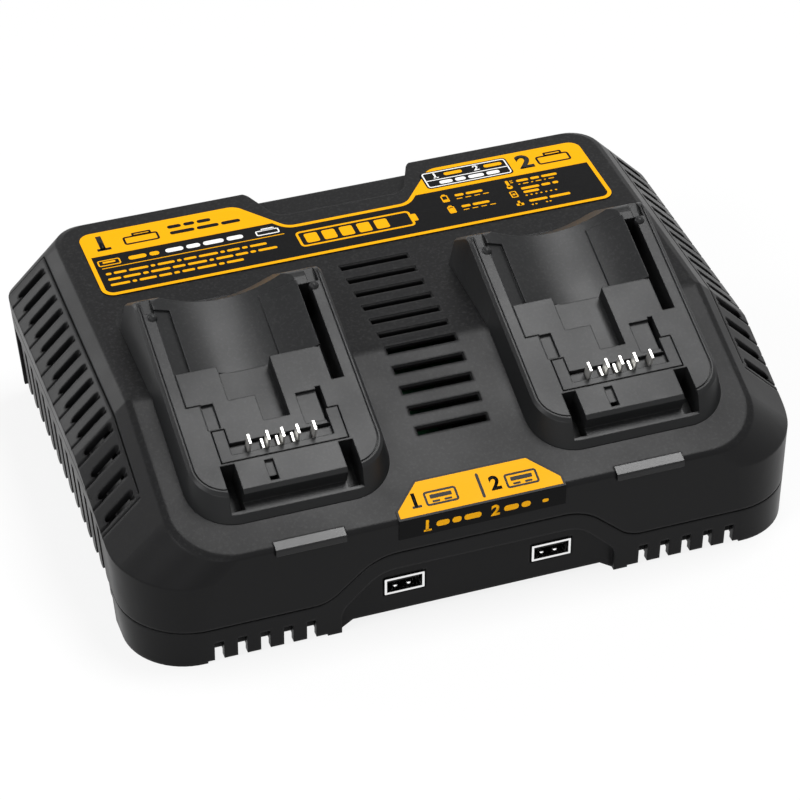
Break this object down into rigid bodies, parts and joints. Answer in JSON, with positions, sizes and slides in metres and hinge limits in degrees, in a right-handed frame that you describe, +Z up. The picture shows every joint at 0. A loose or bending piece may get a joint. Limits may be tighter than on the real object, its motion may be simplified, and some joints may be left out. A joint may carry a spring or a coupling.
{
  "type": "power tool battery charger",
  "caption": "Charging station for slide-on tool batteries: sloped deck with raised railed bays and blade contacts, louvred sides, status bars and USB power sockets in front.",
  "frame": {"origin": "on the table, under the middle of the case", "axes": "+X to the right along the width, -Y towards the user, +Z up"},
  "size_m": [0.2446, 0.1706, 0.0854],
  "materials": {
    "housing": "fine grained satin",
    "bay_plastic": "fine grained satin",
    "black_rubber": "matte",
    "contact_metal": "bright plated",
    "socket_metal": "bright plated",
    "socket_insert": "moulded",
    "smoked_lens": "smoked and clear",
    "printed_label": "printed film",
    "circuit_board": "solder resist",
    "screw_steel": "zinc plated",
    "winding": "lacquered windings and ferrite",
    "heat_sink_metal": "extruded",
    "can_metal": "sleeved cans",
    "black_case": "moulded",
    "lead_insulation": "extruded"
  },
  "bodies": {
    "root": {"board_screws": "screw_steel", "bottom_shell": "housing", "bridge_rectifier": "black_case", "bulk_capacitors": "can_metal", "control_chips": "black_case", "cord_grommet": "black_rubber", "film_capacitor": "black_case", "front_label": "printed_label", "fuse": "black_case", "heat_sinks": "heat_sink_metal", "housing_screws": "screw_steel", "inlet_terminal": "black_case", "left_battery_bay": "bay_plastic", "left_battery_leads": "lead_insulation", "left_contact_blades": "contact_metal", "left_status_light_board": "circuit_board", "left_status_light_lens": "smoked_lens", "left_terminal_block": "bay_plastic", "left_terminal_board": "circuit_board", "left_usb_socket_shell": "socket_metal", "left_usb_socket_tongue": "socket_insert", "line_choke": "black_case", "main_board": "circuit_board", "output_inductors": "winding", "power_transistors": "black_case", "relays": "black_case", "right_battery_bay": "bay_plastic", "right_battery_leads": "lead_insulation", "right_contact_blades": "contact_metal", "right_status_light_board": "circuit_board", "right_status_light_lens": "smoked_lens", "right_terminal_block": "bay_plastic", "right_terminal_board": "circuit_board", "right_usb_socket_shell": "socket_metal", "right_usb_socket_tongue": "socket_insert", "rubber_feet": "black_rubber", "terminal_screws": "screw_steel", "top_label": "printed_label", "top_shell": "housing", "transformers": "winding", "usb_board": "circuit_board", "usb_coils": "winding", "usb_ribbon": "lead_insulation"}
  },
  "joints": []
}
